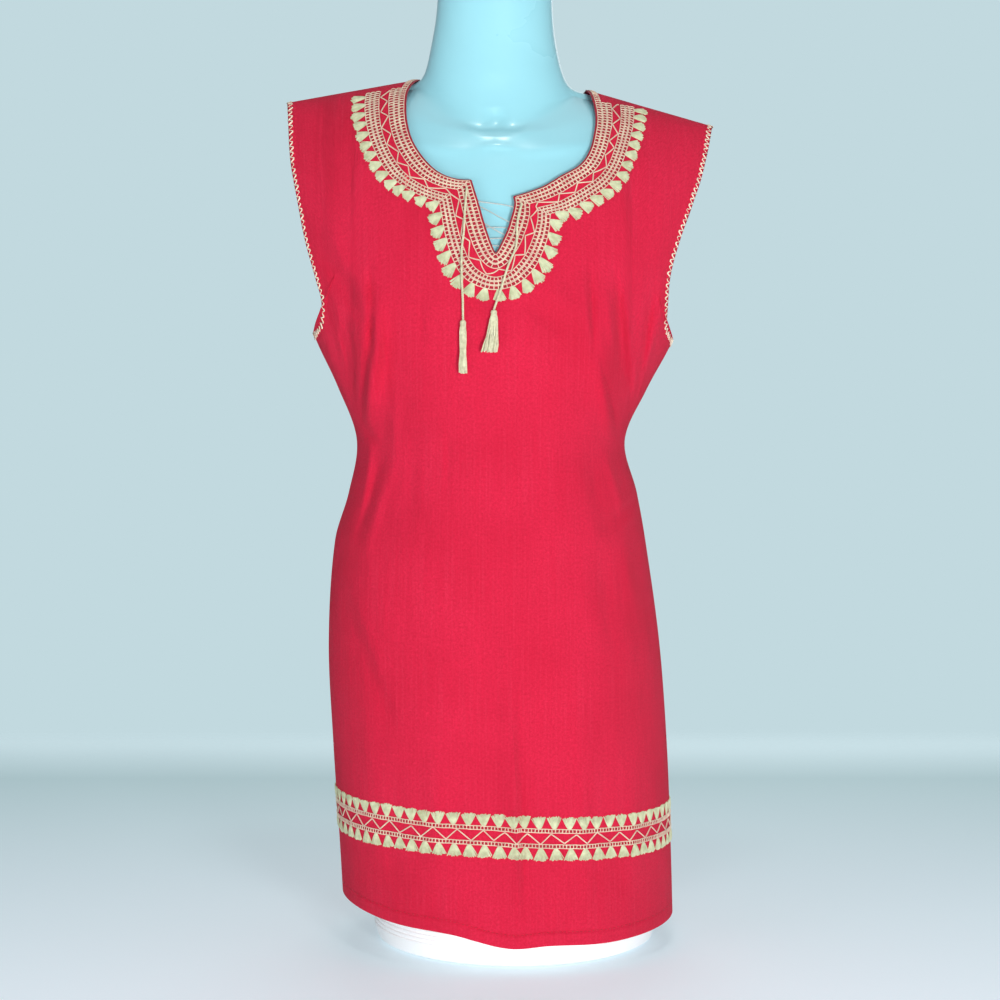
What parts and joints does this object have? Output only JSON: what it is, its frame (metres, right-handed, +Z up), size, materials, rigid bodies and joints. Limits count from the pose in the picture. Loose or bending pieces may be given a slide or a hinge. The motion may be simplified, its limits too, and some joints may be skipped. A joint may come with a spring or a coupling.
{
  "type": "embroidered dress on a dress form",
  "caption": "Sleeveless red cotton dress with a stitched yoke, laced neck slit and stitched border, worn by a limbless dress form on a round foot.",
  "frame": {"origin": "on the floor, under the middle of the dress's hem", "axes": "+Z up, the dress faces -Y, +X to the viewer's right"},
  "size_m": [0.444, 0.3191, 0.9935],
  "materials": {
    "cotton": "red plain-weave cotton with a fine slub, matt",
    "embroidery_thread": "pale cream-green stranded cotton thread",
    "cord": "twisted cream cotton cord",
    "form_plastic": "smooth glossy pale turquoise plastic",
    "base_plastic": "white satin plastic with fine ridges round its side"
  },
  "bodies": {
    "root": {"front_panel": "cotton", "back_panel": "cotton", "neck_embroidery": "embroidery_thread", "hem_embroidery_front": "embroidery_thread", "hem_embroidery_back": "embroidery_thread", "lace_crossing": "cord", "tie_left": "cord", "tie_right": "cord", "tassel_left": "embroidery_thread", "tassel_right": "embroidery_thread", "form_torso": "form_plastic", "form_base": "base_plastic"}
  },
  "joints": []
}
